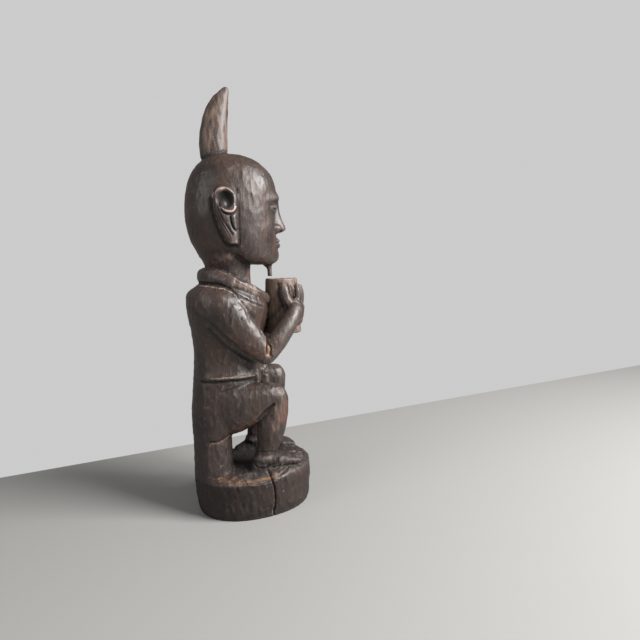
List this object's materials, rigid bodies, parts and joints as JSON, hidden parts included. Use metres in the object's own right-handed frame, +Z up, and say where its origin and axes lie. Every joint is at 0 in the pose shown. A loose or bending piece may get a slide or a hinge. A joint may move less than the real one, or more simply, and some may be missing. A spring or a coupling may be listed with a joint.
{
  "type": "carved wooden figure",
  "caption": "Seated horned figure holding a hollow cup under the chin, carved with stool and oval foot from one block of dark aged wood",
  "frame": {"origin": "bottom centre of the overall box, on the surface that the figure stands on", "axes": "+Z up, the figure looks along -Y, its right side is on -X"},
  "size_m": [0.12, 0.1438, 0.4985],
  "materials": {
    "dark_wood": "satin, hand worn"
  },
  "bodies": {
    "root": {"horned_figure": "dark_wood", "cup_in_hands": "dark_wood"}
  },
  "joints": []
}
